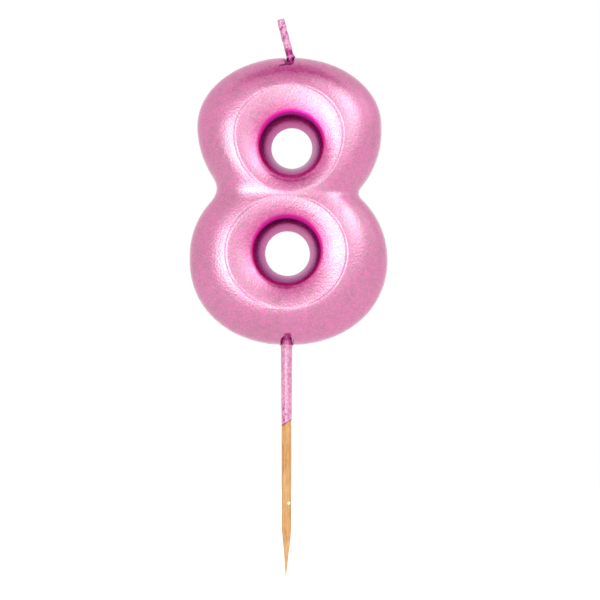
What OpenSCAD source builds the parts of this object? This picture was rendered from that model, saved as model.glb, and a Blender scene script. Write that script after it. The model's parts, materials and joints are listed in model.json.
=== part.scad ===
// Number birthday candle: a cast wax figure eight under a pearl dip, with a short braided
// wick at the top and a wooden pick below it that is pushed into the cake.
// Millimetres, +Z up, the front faces -Y. The origin is on the pick's axis, at the top of its
// bare straight stretch: the level of the cake's surface.

/* [Digit] */
// Depth of the figure from its front crest to its back crest
digit_depth = 13; // [10:0.5:18]
// Half width of the upper loop
upper_half_w = 21.2; // [20:0.1:22]
// Half width of the lower loop
lower_half_w = 22.7; // [21:0.1:24]
// Height of the upper loop's widest place above the cake
upper_mid_z = 68.9; // [68:0.1:69.5]
// Height of the lower loop's widest place above the cake
lower_mid_z = 38.4; // [38:0.1:40]
// Squareness of the upper loop, where 2 is an ellipse
upper_power = 2.04; // [2:0.02:2.2]
// Squareness of the lower loop
lower_power = 2.12; // [2:0.02:2.2]
// Radius of the upper hole at its narrowest
upper_hole_r = 4.65; // [4:0.05:5]
// Radius of the lower hole at its narrowest
lower_hole_r = 5.1; // [4.5:0.05:5.5]
// Thickness of the pearl dip
coat_t = 0.3; // [0.2:0.05:0.5]

/* [Wick] */
// Radius of the bare braid
wick_r = 0.65; // [0.5:0.05:0.7]
// Radius of the braid under its dip
wick_coat_r = 0.9; // [0.8:0.05:0.95]
// Length that stands out of the wax
wick_l = 9.15; // [6:0.05:12]
// Lean to the left, in degrees
wick_lean = 14.6; // [0:0.1:20]
// Depth of the braid inside the wax
wick_depth = 12; // [8:0.5:13]

/* [Pick] */
// Radius of the bare pick
pick_r = 1.1; // [1:0.05:1.2]
// Straight bare length below the dip
pick_bare_l = 22.3; // [15:0.1:30]
// Length of the sharpened end
pick_point_l = 12; // [8:0.5:15]
// Depth of the pick inside the figure
pick_depth = 12.1; // [8:0.1:14]

/* [Hidden] */

// Facets along each stretch of the figure's surface
ROUND_STEPS = 40;
WAIST_STEPS = 8;
WALL_STEPS = 3;
FACE_STEPS = 2;
SHOULDER_STEPS = 6;
SOLVE_STEPS = 24;
// Farther than any edge is from its hole, and nearer than the next loop
EDGE_FAR = 24.5;

// Each loop of the figure: centre x, centre z, half width, height above and below the centre,
// power, and its sideways lean towards the waist
upper_loop = [0.6, upper_mid_z, upper_half_w, 16, 21.2, upper_power, 0.03];
lower_loop = [0.4, lower_mid_z, lower_half_w, 20, 19.7, lower_power, -0.02];
// The crest lines, where the face is thickest, run around each hole in the same way
upper_crest = [0.8, 66.7, 12.35, 11.15, 13.5, 2, 0];
lower_crest = [0.2, 39.6, 13.75, 12.9, 12.7, 2, 0];
// Each hole: centre x, centre z, radius
upper_hole = [1.2, 63.9, upper_hole_r];
lower_hole = [0.2, 39.7, lower_hole_r];
// Middle of the waist, and the way to the notch on each side of it
waist = [0.5, 52.9];
left_notch_way = [-16.2, 1.8];
right_notch_way = [16.2, 0.5];
// Breadth of the blend in each notch
left_notch_blend = 4.5;
right_notch_blend = 2;
// Distance to either side over which one notch's blend gives way to the other's
notch_reach = 10;

// Fall of the face outside the crest, and how it rounds off: [fall, power, roundness]
shoulder = [0.12, 2.1, 0.5];
// Inside the crest the face slopes gently and then dips: [slope, dip]
inner_face = [0.06, 0.5];
// Each hole's wall leans out to its brink: [run, slope at the mouth, curve]
hole_wall = [3.15, 2.9, 0.333];
brink_round = 0.25;

digit_bottom_z = lower_loop[1] - lower_loop[4];
digit_top_z = upper_loop[1] + upper_loop[3];

// The wick bends where it leaves the wax, in the middle of a small pit
wick_foot = [0.9, 0, digit_top_z];
pit_r = wick_coat_r + 0.45;
pit_floor_r = 1;
pit_floor_z = digit_top_z - 1.9;
// Room under the standing wick's round foot, so that it turns freely
foot_gap = 0.2;
// The coat ends a little below the cut end of the braid
wick_bare_end = 0.35;
// Slope of the cut across the end: it rises a little to the right of square
wick_cut_angle = -3.5;

// The wood tapers a hair under the dip, whose lower edge is flush with the bare wood
pick_under_r = pick_r - 0.05;
pick_end_r = pick_r - 0.12;
dip_edge_z = 0.3;
sleeve_top_r = pick_r + 0.2;
sleeve_top_z = digit_bottom_z + 1.2;
sleeve_cut_angle = 36;
sleeve_mid_z = 4;
sleeve_mid_r = pick_r + 0.1;
collar_r = 1.75;
collar_l = 0.9;
pick_top_z = digit_bottom_z + pick_depth;
pick_tip_r = 0.08;
// The sharpened end narrows quickly at first, then more slowly
point_shoulder_r = 0.5;
point_shoulder_l = 0.55 * pick_point_l;
blunt_l = 1.2;
blunt_r = 0.6;

// The dip drew back from both roots and left a hollow in the front of the edge:
// [centre x, centre z, radius]
wick_hollow = [0.8, digit_top_z - 0.4, 1.2];
pick_hollow = [0.2, digit_bottom_z + 0.7, 1.4];

// Reach of p in a loop: 0 at its centre, 1 on its edge
function reach(p, loop, grow) =
    let (
        rise = p.y - loop[1],
        to_waist = loop[6] > 0 ? max(0, -rise) : max(0, rise),
        across = abs(p.x - loop[0] - loop[6] * to_waist) / (loop[2] + grow),
        up = abs(rise) / ((rise > 0 ? loop[3] : loop[4]) + grow)
    )
    pow(pow(across, loop[5]) + pow(up, loop[5]), 1 / loop[5]);

// About how far p lies inside the figure's outline, with the two loops blended at the notches
function inside(p, grow) =
    let (
        a = upper_half_w * (1 - reach(p, upper_loop, grow)),
        b = lower_half_w * (1 - reach(p, lower_loop, grow)),
        side = max(-1, min(1, p.x / notch_reach)),
        mean = (left_notch_blend + right_notch_blend) / 2,
        k = mean + side * (right_notch_blend - mean),
        near = max(k - abs(a - b), 0) / k
    )
    max(a, b) + near * near * k / 4;

// About how far p lies outside both crest lines
function past_crest(p) =
    let (
        a = max(0, upper_crest[2] * (reach(p, upper_crest, 0) - 1)),
        b = max(0, lower_crest[2] * (reach(p, lower_crest, 0) - 1))
    )
    a * b / (a + b);

// Height of the face between the crest lines and the outline
function shoulder_height(p, grow) =
    let (
        c = past_crest(p),
        o = max(0, inside(p, grow)),
        t = c / (c + o)
    )
    (digit_depth / 2 + grow) * (1 - shoulder[0] * t) * pow(1 - pow(t, shoulder[1]), shoulder[2]);

// Height of the face at a distance left to the hole's mouth, where length is the whole way
// to the mouth from the crest
function funnel_height(left, length, grow) =
    let (
        gone = length - left,
        face = digit_depth / 2 + grow - inner_face[0] * gone
            - inner_face[1] * pow(gone / (length - hole_wall[0]), 2),
        bent = min(left, hole_wall[0] + 0.45),
        wall = hole_wall[1] * bent - hole_wall[2] * bent * bent + 0.8 * (left - bent),
        near = max(brink_round - abs(face - wall), 0) / brink_round
    )
    min(face, wall) - near * near * brink_round / 4;

// Distance between low and high at which f turns negative
function solve(f, low, high, steps) =
    let (mid = (low + high) / 2)
    steps == 0 ? mid
    : f(mid) > 0 ? solve(f, mid, high, steps - 1)
    : solve(f, low, mid, steps - 1);

function along(start, way, distance) = start + way * distance / norm(way);

// Where a line from start leaves the figure
function edge_point(start, way, grow) =
    let (d = solve(function (s) inside(along(start, way, s), grow), 0, EDGE_FAR, SOLVE_STEPS))
    along(start, way, d);

// Where a line from start crosses a crest line
function crest_point(start, way, crest) =
    let (d = solve(function (s) 1 - reach(along(start, way, s), crest, 0), 0, EDGE_FAR, SOLVE_STEPS))
    along(start, way, d);

// Points along the outline around a hole, anticlockwise from one notch to the other
function round_edge(hole, from, to, grow) =
    let (
        centre = [hole[0], hole[1]],
        a0 = atan2(from.y - centre.y, from.x - centre.x),
        a1 = atan2(to.y - centre.y, to.x - centre.x),
        turn = a1 > a0 ? a1 - a0 : a1 - a0 + 360
    )
    [
        for (i = [1 : ROUND_STEPS - 1])
            let (a = a0 + turn * i / ROUND_STEPS)
            edge_point(centre, [cos(a), sin(a)], grow)
    ];

// Points on the waist line from a notch to the middle of the waist, without the notch,
// closest together at the notch, where the face is steep
function waist_line(notch) =
    [for (i = [1 : WAIST_STEPS]) notch + (waist - notch) * pow(i / WAIST_STEPS, 2)];

function reversed(list) = [for (i = [len(list) - 1 : -1 : 0]) list[i]];

// The cell around one hole: its rim points, each with whether it lies on the outline
function cell(hole, from, to, grow) =
    let (
        back = waist_line(to),
        home = reversed(waist_line(from))
    )
    concat(
        [[from, true]],
        [for (p = round_edge(hole, from, to, grow)) [p, true]],
        [[to, true]],
        [for (p = back) [p, false]],
        [for (i = [1 : len(home) - 1]) [home[i], false]]
    );

// One line of surface points from the hole's narrowest place out to a rim point
function spoke(rim, hole, crest, grow, side) =
    let (
        centre = [hole[0], hole[1]],
        way = rim[0] - centre,
        mouth = along(centre, way, hole[2] - grow),
        top = crest_point(centre, way, crest),
        length = norm(top - mouth),
        rim_h = rim[1] ? 0 : shoulder_height(rim[0], grow)
    )
    concat(
        [[mouth.x, 0, mouth.y]],
        [
            for (j = [1 : WALL_STEPS + FACE_STEPS])
                let (
                    on_face = max(0, j - WALL_STEPS) / FACE_STEPS,
                    on_wall = min(j / WALL_STEPS, 1) * hole_wall[0],
                    left = on_wall + (length - hole_wall[0]) * on_face,
                    p = along(mouth, way, left)
                )
                [p.x, side * funnel_height(left, length, grow), p.y]
        ],
        [
            for (j = [1 : SHOULDER_STEPS - 1])
                let (p = top + (rim[0] - top) * sin(90 * j / SHOULDER_STEPS))
                [p.x, side * shoulder_height(p, grow), p.y]
        ],
        [[rim[0].x, rim_h == 0 ? 0 : side * rim_h, rim[0].y]]
    );

// The whole figure as one closed surface; grow is negative for the wax under the dip
module figure(grow) {
    left = edge_point(waist, left_notch_way, grow);
    right = edge_point(waist, right_notch_way, grow);
    upper = cell(upper_hole, right, left, grow);
    lower = cell(lower_hole, left, right, grow);
    spokes = len(upper);
    rings = WALL_STEPS + FACE_STEPS + SHOULDER_STEPS + 1;
    sheet = spokes * rings;
    points = [
        for (side = [-1, 1])
            for (rim = upper)
                each spoke(rim, upper_hole, upper_crest, grow, side),
        for (side = [-1, 1])
            for (rim = lower)
                each spoke(rim, lower_hole, lower_crest, grow, side)
    ];
    faces = [
        for (s = [0 : 3])
            for (k = [0 : spokes - 1])
                for (j = [0 : rings - 2])
                    let (
                        a = s * sheet + k * rings + j,
                        b = s * sheet + ((k + 1) % spokes) * rings + j
                    )
                    each s % 2 == 0
                        ? [[a, b, b + 1], [a, b + 1, a + 1]]
                        : [[a, b + 1, b], [a, a + 1, b + 1]]
    ];
    polyhedron(points, faces, convexity = 8);
}

// Front half of the space that a hollow takes out of the figure
module hollow(place, grow) {
    translate([place[0], 0, place[1]])
        rotate([90, 0, 0])
            cylinder(h = digit_depth, r = place[2] - grow, $fn = 48);
}

// The figure with the hollows at its two roots
module hollowed_figure(grow) {
    difference() {
        figure(grow);
        hollow(wick_hollow, grow);
        hollow(pick_hollow, grow);
    }
}

// Radius of the wood at height z under the dip
function under_r(z) =
    let (share = (z - dip_edge_z) / (pick_top_z - blunt_l - dip_edge_z))
    pick_under_r + share * (pick_end_r - pick_under_r);

// Space that the pick and its sleeve of dip take out of the figure
module pick_space() {
    translate([0, 0, digit_bottom_z - 1])
        cylinder(h = sleeve_top_z - digit_bottom_z + 1, r = sleeve_top_r, $fn = 48);
    pick_shaft();
}

// Space that the wick takes out of the figure, with the pit around its foot
module wick_space() {
    translate([wick_foot.x, 0, digit_top_z - wick_depth])
        cylinder(h = wick_depth, r = wick_r, $fn = 48);
    translate([wick_foot.x, 0, pit_floor_z])
        cylinder(h = digit_top_z - pit_floor_z, r1 = pit_floor_r, r2 = pit_r, $fn = 48);
    translate([wick_foot.x, 0, digit_top_z])
        cylinder(h = 1, r = pit_r, $fn = 48);
}

// The thinner upper part of the pick, with its blunt end
module pick_shaft() {
    translate([0, 0, dip_edge_z])
        cylinder(h = pick_top_z - dip_edge_z - blunt_l, r1 = pick_under_r, r2 = pick_end_r, $fn = 48);
    translate([0, 0, pick_top_z - blunt_l])
        cylinder(h = blunt_l, r1 = pick_end_r, r2 = blunt_r, $fn = 48);
}

module wax_core() {
    color("lavenderblush")
        difference() {
            hollowed_figure(-coat_t);
            pick_space();
            wick_space();
        }
}

module digit_coat() {
    color([0.85, 0.5, 0.68])
        difference() {
            hollowed_figure(0);
            hollowed_figure(-coat_t);
            pick_space();
            wick_space();
        }
}

module wick_root() {
    color("ivory")
        translate([wick_foot.x, 0, digit_top_z - wick_depth])
            cylinder(h = wick_depth - wick_coat_r - foot_gap, r = wick_r, $fn = 48);
}

// Places its children at the wick's foot, with +Z along the leaning wick
module on_wick() {
    translate(wick_foot)
        rotate([0, -wick_lean, 0])
            children();
}

// Takes the slanted cut off the wick's end
module wick_cut(length) {
    translate([0, 0, length])
        rotate([0, wick_cut_angle, 0])
            translate([-3, -3, 0])
                cube([6, 6, 3]);
}

module wick_body(r, length) {
    difference() {
        union() {
            sphere(r, $fn = 32);
            cylinder(h = length + 1, r = r, $fn = 48);
        }
        wick_cut(length);
    }
}

module wick_tip() {
    color("ivory")
        on_wick()
            wick_body(wick_r, wick_l);
}

module wick_coat() {
    color([0.93, 0.66, 0.8])
        on_wick()
            difference() {
                wick_body(wick_coat_r, wick_l - wick_bare_end);
                wick_body(wick_r, wick_l + 1);
            }
}

module pick() {
    color([0.9, 0.65, 0.38]) {
        pick_shaft();
        cylinder(h = dip_edge_z, r1 = pick_r, r2 = pick_under_r, $fn = 48);
        translate([0, 0, -pick_bare_l])
            cylinder(h = pick_bare_l, r = pick_r, $fn = 48);
        translate([0, 0, -pick_bare_l])
            rotate_extrude($fn = 48)
                polygon([
                    [0, 0],
                    [pick_r, 0],
                    [point_shoulder_r, -point_shoulder_l],
                    [pick_tip_r, -pick_point_l],
                    [0, -pick_point_l]
                ]);
    }
}

module pick_coat() {
    color([0.82, 0.45, 0.64])
        difference() {
            rotate_extrude($fn = 48)
                polygon([
                    [pick_under_r, dip_edge_z],
                    [pick_r, dip_edge_z],
                    [sleeve_mid_r, sleeve_mid_z],
                    [sleeve_top_r - 0.01, digit_bottom_z - collar_l],
                    [collar_r, digit_bottom_z],
                    [sleeve_top_r, digit_bottom_z],
                    [sleeve_top_r, sleeve_top_z],
                    [under_r(sleeve_top_z), sleeve_top_z]
                ]);
            // The lower edge ran down to one side before it set
            translate([-pick_r, 0, dip_edge_z])
                rotate([0, -sleeve_cut_angle, 0])
                    translate([-3, -3, -3])
                        cube([9, 6, 3]);
        }
}

wax_core();
digit_coat();
wick_root();
wick_tip();
wick_coat();
pick();
pick_coat();
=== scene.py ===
"""Looks of the number birthday candle: a pearl-dipped wax figure eight on a wooden pick.

Shapes are worked out in millimetres, in the part's own frame, and become metres where a mesh is
made. The figure follows the same formulas as the part's source, so its wax stays under the dip.
"""

import json
import math
from collections import namedtuple

import bpy
import numpy as np
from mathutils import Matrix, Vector, noise


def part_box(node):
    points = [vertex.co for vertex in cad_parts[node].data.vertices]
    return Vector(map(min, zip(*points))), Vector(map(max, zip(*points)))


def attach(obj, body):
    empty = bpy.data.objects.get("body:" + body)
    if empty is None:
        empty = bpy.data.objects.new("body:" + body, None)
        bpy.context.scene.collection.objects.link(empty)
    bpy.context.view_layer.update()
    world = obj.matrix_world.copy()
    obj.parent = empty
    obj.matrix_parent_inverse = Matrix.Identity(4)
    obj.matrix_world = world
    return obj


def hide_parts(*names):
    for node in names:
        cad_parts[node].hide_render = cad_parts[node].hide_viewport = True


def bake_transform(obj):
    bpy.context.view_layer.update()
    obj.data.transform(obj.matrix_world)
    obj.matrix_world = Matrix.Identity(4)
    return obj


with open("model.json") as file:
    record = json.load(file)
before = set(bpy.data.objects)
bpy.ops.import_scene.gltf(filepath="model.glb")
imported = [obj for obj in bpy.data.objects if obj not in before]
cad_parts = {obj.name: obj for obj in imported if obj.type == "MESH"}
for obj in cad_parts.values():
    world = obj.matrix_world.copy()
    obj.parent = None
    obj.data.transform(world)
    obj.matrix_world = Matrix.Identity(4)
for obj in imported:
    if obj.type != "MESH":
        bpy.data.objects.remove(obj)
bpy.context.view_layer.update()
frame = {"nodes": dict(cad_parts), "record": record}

MM = 0.001


def box_mm(node):
    low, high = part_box(node)
    return np.array(low) / MM, np.array(high) / MM


DIGIT_LOW, DIGIT_HIGH = box_mm("digit_coat")
PICK_LOW, PICK_HIGH = box_mm("pick")
JOINT = frame["record"]["behaviour"]["joints"][0]
WICK_FOOT = np.array(JOINT["pos_m"]) / MM
PICK_R = frame["record"]["mounts"][0]["dims"]["r_mm"]
PICK_BARE_L = frame["record"]["mounts"][0]["dims"]["length_mm"]
TOP_Z = float(DIGIT_HIGH[2])
BOTTOM_Z = float(DIGIT_LOW[2])
HALF_DEPTH = float(DIGIT_HIGH[1])


def smoothstep(low, high, value):
    t = np.clip((value - low) / (high - low), 0, 1)
    return t * t * (3 - 2 * t)


def wobble(points, wavelength, seed):
    """Smooth noise from -1 to 1 at each point, in millimetres."""
    shift = Vector((seed * 17.31, seed * 5.77, seed * 11.13))
    return np.array([noise.noise(Vector(p) / wavelength + shift) for p in points])


# ---------------------------------------------------------------------------------------------
# Meshes


def make_object(name, points_mm, faces, attributes=None):
    mesh = bpy.data.meshes.new(name)
    mesh.from_pydata((np.asarray(points_mm) * MM).tolist(), [], faces)
    mesh.update()
    mesh.shade_smooth()
    for key, values in (attributes or {}).items():
        layer = mesh.attributes.new(key, "FLOAT", "POINT")
        layer.data.foreach_set("value", np.asarray(values, np.float32))
    obj = bpy.data.objects.new(name, mesh)
    bpy.context.scene.collection.objects.link(obj)
    return obj


def welded(points, faces):
    """Points and faces with coinciding points joined and collapsed faces dropped."""
    keys = np.round(points, 6)
    _, first, index = np.unique(keys, axis=0, return_index=True, return_inverse=True)
    index = index.reshape(-1)
    kept = []
    for face in faces:
        joined = list(dict.fromkeys(int(index[i]) for i in face))
        if len(joined) > 2:
            kept.append(joined)
    return points[first], kept


def tube_faces(rings, around, start=0):
    """Faces of a tube whose points come ring by ring."""
    faces = []
    for i in range(rings - 1):
        for k in range(around):
            a = start + i * around + k
            b = start + i * around + (k + 1) % around
            faces.append((a, b, b + around, a + around))
    return faces


def end_caps(rings, around, start=0):
    """The two faces that close such a tube."""
    last = start + (rings - 1) * around
    return [tuple(range(start + around - 1, start - 1, -1)), tuple(range(last, last + around))]


# ---------------------------------------------------------------------------------------------
# The figure

Loop = namedtuple("Loop", "x z half_width above below power lean")
Disc = namedtuple("Disc", "x z radius")

UPPER_LOOP = Loop(0.6, 68.9, 21.2, TOP_Z - 68.9, 21.2, 2.04, 0.03)
LOWER_LOOP = Loop(0.4, 38.4, 22.7, 20.0, 38.4 - BOTTOM_Z, 2.12, -0.02)
UPPER_CREST = Loop(0.8, 66.7, 12.35, 11.15, 13.5, 2, 0)
LOWER_CREST = Loop(0.2, 39.6, 13.75, 12.9, 12.7, 2, 0)
UPPER_HOLE = Disc(1.2, 63.9, 4.65)
LOWER_HOLE = Disc(0.2, 39.7, 5.1)
WAIST = np.array((0.5, 52.9))
LEFT_NOTCH_WAY = np.array((-16.2, 1.8))
RIGHT_NOTCH_WAY = np.array((16.2, 0.5))
LEFT_BLEND, RIGHT_BLEND = 4.5, 2.0
NOTCH_REACH = 10.0

# From the crest lines out: slope of the top, then the power and the roundness of the shoulder
SHOULDER_SLOPE, SHOULDER_POWER, SHOULDER_ROUND = 0.12, 2.1, 0.5
# From the crest lines in: slope of the face, and how far it has dipped where the wall starts
FACE_SLOPE, FACE_DIP = 0.06, 0.5
# Wall of a hole: its run from the mouth, its slope there, how fast that eases, and its end
WALL_RUN, WALL_SLOPE, WALL_EASE = 3.15, 2.9, 0.333
WALL_EASES_ON, WALL_LAST_SLOPE = 0.45, 0.8
BRINK_ROUND = 0.25

# Mesh of the figure: steps, and how the rows crowd towards the places that bend most
EDGE_FAR = 24.5
HALVINGS = 32
ARC_STEPS = 150
ARC_SAMPLES = 4001
WAIST_STEPS, WAIST_CROWDING = 28, 1.7
WALL_STEPS = 24
FACE_STEPS, FACE_CROWDING = 24, 1.5
SHOULDER_STEPS, SHOULDER_CROWDING = 54, 1.4
WALL_ROWS_PAST = 0.5
# The rim has more points at the wick and at the pick: their angles seen from the holes
WICK_ANGLE, PICK_ANGLE = 90.8, 270.5
ROOT_ANGLE_SPREAD = 6.0
ROOT_EXTRA = 7.0

# Small relief of the dip: depths, widths, and wavelengths with their seeds
CREASE_DEPTH, CREASE_WIDTH, CREASE_AT_WAIST = 0.09, 0.2, 0.2
CREASE_FADE_X, CREASE_FADE_Y = (2.0, 10.0), (2.0, 4.0)
CREASE_MEAN, CREASE_CHANGE, CREASE_NOISE = 0.8, 0.5, (6.0, 3)
SWELL, SWELL_NOISE = 0.035, (7.0, 1)
RIPPLE, RIPPLE_NOISE = 0.007, (1.3, 2)
SEAM_HEIGHT, SEAM_WIDTH = 0.04, 0.14
SEAM_FADE = (1.0, 3.0)
ROOT_CALM = (1.5, 4.0)

# Painted light in the holes: a magenta painted reflection, fainter further out, a purple
# painted shade on the walls and a mauve painted reflection at the mouth. Distances from the
# mouth, and how far these painted zones sit off each hole's centre, x and z
HOLE_REFLECTION_FROM, HOLE_REFLECTION_SOFT = 3.2, 0.6
HOLE_REFLECTION_TINT, HOLE_REFLECTION_FAR = 0.42, 6.3
LIP_REFLECTION_REACH = (0.5, 1.85)
HOLE_SHADE_REACH = (1.9, 2.7)
UPPER_HOLE_PAINT_SHIFT = (0.05, 0.8)
LOWER_HOLE_PAINT_SHIFT = (0.1, 0.6)

# Where the dip ran together under each hole before it set: x, z
RUNS = ((1.3, 57.2), (0.2, 31.8))
RUN_HALF_WIDTH, RUN_HALF_HEIGHT, RUN_SOFT, RUN_STRENGTH = 1.9, 1.5, 0.8, 0.55

# In front: a darker smear beside the wick, and painted shade in the hollow below the wick and
# in the one above the pick
ShadeSpot = namedtuple("ShadeSpot", "x z half_width half_height core edge strength")
BELOW_WICK_SHADE = ShadeSpot(0.8, TOP_Z - 1.5, 1.25, 1.1, 0.75, 1.05, 0.78)
ABOVE_PICK_SHADE = ShadeSpot(0.5, BOTTOM_Z + 2.2, 1.25, 0.75, 0.35, 1.0, 0.7)
SMEAR_START, SMEAR_END = (0.4, TOP_Z - 2.1), (-1.5, TOP_Z - 2.6)
SMEAR_HALF_WIDTH, SMEAR_TAPER, SMEAR_STRENGTH = 0.5, 0.3, 0.75
SMEAR_SOFT = (0.2, 1.0)
# Depths of the hollows at the wick and the pick over which their painted shade comes in
HOLLOW_SHADE_DEPTHS = (0.03, 0.35)


def smooth_min(a, b, k):
    near = np.maximum(k - np.abs(a - b), 0) / k
    return np.minimum(a, b) - near * near * k / 4


def reach(x, z, loop):
    """How far out a point lies in a loop: 0 at its centre, 1 on its line."""
    rise = z - loop.z
    to_waist = np.maximum(0, -rise) if loop.lean > 0 else np.maximum(0, rise)
    across = np.abs(x - loop.x - loop.lean * to_waist) / loop.half_width
    up = np.abs(rise) / np.where(rise > 0, loop.above, loop.below)
    return (across ** loop.power + up ** loop.power) ** (1 / loop.power)


def inside(x, z):
    """About how far a point lies inside the outline; the loops blend at the waist."""
    a = UPPER_LOOP.half_width * (1 - reach(x, z, UPPER_LOOP))
    b = LOWER_LOOP.half_width * (1 - reach(x, z, LOWER_LOOP))
    mean = (LEFT_BLEND + RIGHT_BLEND) / 2
    k = mean + np.clip(x / NOTCH_REACH, -1, 1) * (RIGHT_BLEND - mean)
    near = np.maximum(k - np.abs(a - b), 0) / k
    return np.maximum(a, b) + near * near * k / 4


def beyond(x, z, crest):
    """About how far a point lies outside a crest line."""
    return crest.half_width * (reach(x, z, crest) - 1)


def funnel_height(left, length):
    """Height at a distance left to the hole's mouth, length being the way there from the crest."""
    gone = length - left
    face = HALF_DEPTH - FACE_SLOPE * gone - FACE_DIP * (gone / (length - WALL_RUN)) ** 2
    bent = np.minimum(left, WALL_RUN + WALL_EASES_ON)
    wall = WALL_SLOPE * bent - WALL_EASE * bent * bent + WALL_LAST_SLOPE * (left - bent)
    return smooth_min(face, wall, BRINK_ROUND)


def shoulder_height(x, z):
    """Height between the crest lines and the outline."""
    a = np.maximum(0, beyond(x, z, UPPER_CREST))
    b = np.maximum(0, beyond(x, z, LOWER_CREST))
    c = a * b / np.maximum(a + b, 1e-9)
    o = np.maximum(0, inside(x, z))
    t = c / np.maximum(c + o, 1e-9)
    return HALF_DEPTH * (1 - SHOULDER_SLOPE * t) * (1 - t ** SHOULDER_POWER) ** SHOULDER_ROUND


def crossing(start, way, test):
    """Point on each line from start where test turns negative."""
    low = np.zeros(len(way))
    high = np.full(len(way), EDGE_FAR)
    for _ in range(HALVINGS):
        mid = (low + high) / 2
        positive = test(start[0] + way[:, 0] * mid, start[1] + way[:, 1] * mid) > 0
        low = np.where(positive, mid, low)
        high = np.where(positive, high, mid)
    return start + way * low[:, None]


def unit(way):
    return way / np.linalg.norm(way, axis=-1, keepdims=True)


def notch(way):
    """The point where the outline pinches in, that way from the waist."""
    return crossing(WAIST, unit(way)[None, :], inside)[0]


def rim_points(hole, begin, end, root_angle):
    """Points around one hole's cell: the outline from notch to notch, then the waist line back."""
    centre = np.array((hole.x, hole.z))
    a0 = math.degrees(math.atan2(*(begin - centre)[::-1]))
    a1 = math.degrees(math.atan2(*(end - centre)[::-1]))
    turn = (a1 - a0) % 360
    fine = a0 + turn * np.linspace(0, 1, ARC_SAMPLES)
    away = (fine - root_angle + 180) % 360 - 180
    density = 1 + ROOT_EXTRA * np.exp(-((away / ROOT_ANGLE_SPREAD) ** 2))
    share = np.concatenate([[0], np.cumsum((density[1:] + density[:-1]) / 2)])
    angles = np.radians(np.interp(np.linspace(0, share[-1], ARC_STEPS + 1), share, fine))[1:-1]
    arc = crossing(centre, np.stack([np.cos(angles), np.sin(angles)], 1), inside)
    steps = (np.arange(1, WAIST_STEPS + 1) / WAIST_STEPS)[:, None] ** WAIST_CROWDING
    to_middle = end + (WAIST - end) * steps
    from_middle = (begin + (WAIST - begin) * steps)[::-1][1:]
    rim = np.concatenate([begin[None], arc, end[None], to_middle, from_middle])
    on_edge = np.zeros(len(rim), bool)
    on_edge[: len(arc) + 2] = True
    return rim, on_edge


def cell_sheet(hole, crest, rim, on_edge, side):
    """Surface points of one cell on one face, from the hole's mouth to the rim."""
    centre = np.array((hole.x, hole.z))
    way = unit(rim - centre)
    mouth = centre + way * hole.radius
    top = crossing(centre, way, lambda x, z: -beyond(x, z, crest))
    rows = []
    length = np.linalg.norm(top - mouth, axis=1)
    brink = WALL_RUN + WALL_ROWS_PAST
    for j in range(WALL_STEPS + FACE_STEPS + 1):
        on_wall = brink * min(j / WALL_STEPS, 1)
        on_face = 1 - (1 - max(0, j - WALL_STEPS) / FACE_STEPS) ** FACE_CROWDING
        left = on_wall + (length - brink) * on_face
        plan = mouth + way * left[:, None]
        height = 0 * left if j == 0 else funnel_height(left, length)
        rows.append(np.column_stack([plan[:, 0], side * height, plan[:, 1]]))
    for j in range(1, SHOULDER_STEPS + 1):
        share = math.sin(math.pi / 2 * (j / SHOULDER_STEPS) ** SHOULDER_CROWDING)
        plan = top + (rim - top) * share
        height = shoulder_height(plan[:, 0], plan[:, 1])
        if j == SHOULDER_STEPS:
            height = np.where(on_edge, 0, height)
        rows.append(np.column_stack([plan[:, 0], side * height, plan[:, 1]]))
    return np.stack(rows, 1)


# The hollows in the front of the edge, and the pit round the wick
WICK_HOLLOW = Disc(0.8, TOP_Z - 0.4, 1.2)
PICK_HOLLOW = Disc(0.2, BOTTOM_Z + 0.7, 1.4)
HOLLOW_EDGE = 0.22
HOLLOW_POWER = 2.2
HOLLOW_FADE_Y = 0.5
BEYOND_HOLLOW = 50
PIT_R, PIT_FLOOR_R, PIT_DEPTH = 1.35, 1.0, 1.9
# How far from the wick's foot and the pick's top the figure is touched
ROOT_REACH_X, ROOT_REACH_Z = 4, 6


def hollow_line(x, hollow, up_or_down):
    """Height of a hollow's wall over each x, about a half circle bulging up (1) or down (-1)."""
    share = np.clip(np.abs(x - hollow.x) / hollow.radius, 0, 1)
    wall = hollow.z + up_or_down * hollow.radius * np.sqrt(1 - share ** HOLLOW_POWER)
    return np.where(share < 1, wall, hollow.z - up_or_down * BEYOND_HOLLOW)


def press_roots(p):
    """Presses the hollows and the wick's pit into the figure; returns how deep each point went."""
    x, y, z = p[:, 0], p[:, 1], p[:, 2]
    deep = np.zeros(len(p))
    front = 1 - smoothstep(0.0, HOLLOW_FADE_Y, y)

    near = (z > TOP_Z - ROOT_REACH_Z) & (np.abs(x - WICK_FOOT[0]) < ROOT_REACH_X)
    line = hollow_line(x, WICK_HOLLOW, -1)
    lowered = smooth_min(z, line, HOLLOW_EDGE)
    pressed = z + (lowered - z) * front
    around = np.hypot(x - WICK_FOOT[0], y)
    cone = TOP_Z - PIT_DEPTH * np.clip((PIT_R - around) / (PIT_R - PIT_FLOOR_R), 0, 1)
    pressed = np.where(around < PIT_R, np.minimum(pressed, cone), pressed)
    deep = np.where(near, z - pressed, deep)
    z_new = np.where(near, pressed, z)

    near = (z < BOTTOM_Z + ROOT_REACH_Z) & (np.abs(x) < ROOT_REACH_X)
    line = hollow_line(x, PICK_HOLLOW, 1)
    raised = -smooth_min(-z, -line, HOLLOW_EDGE)
    pressed = z + (raised - z) * front
    deep = np.where(near, pressed - z, deep)
    z_new = np.where(near, pressed, z_new)

    return np.column_stack([x, y, z_new]), deep


def segment_distance(x, z, start, end):
    """Distance to a segment, and how far along it the nearest place is, from 0 to 1."""
    ax, az = start
    run, rise = end[0] - ax, end[1] - az
    t = np.clip(((x - ax) * run + (z - az) * rise) / (run ** 2 + rise ** 2), 0, 1)
    return np.hypot(x - ax - t * run, z - az - t * rise), t


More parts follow.
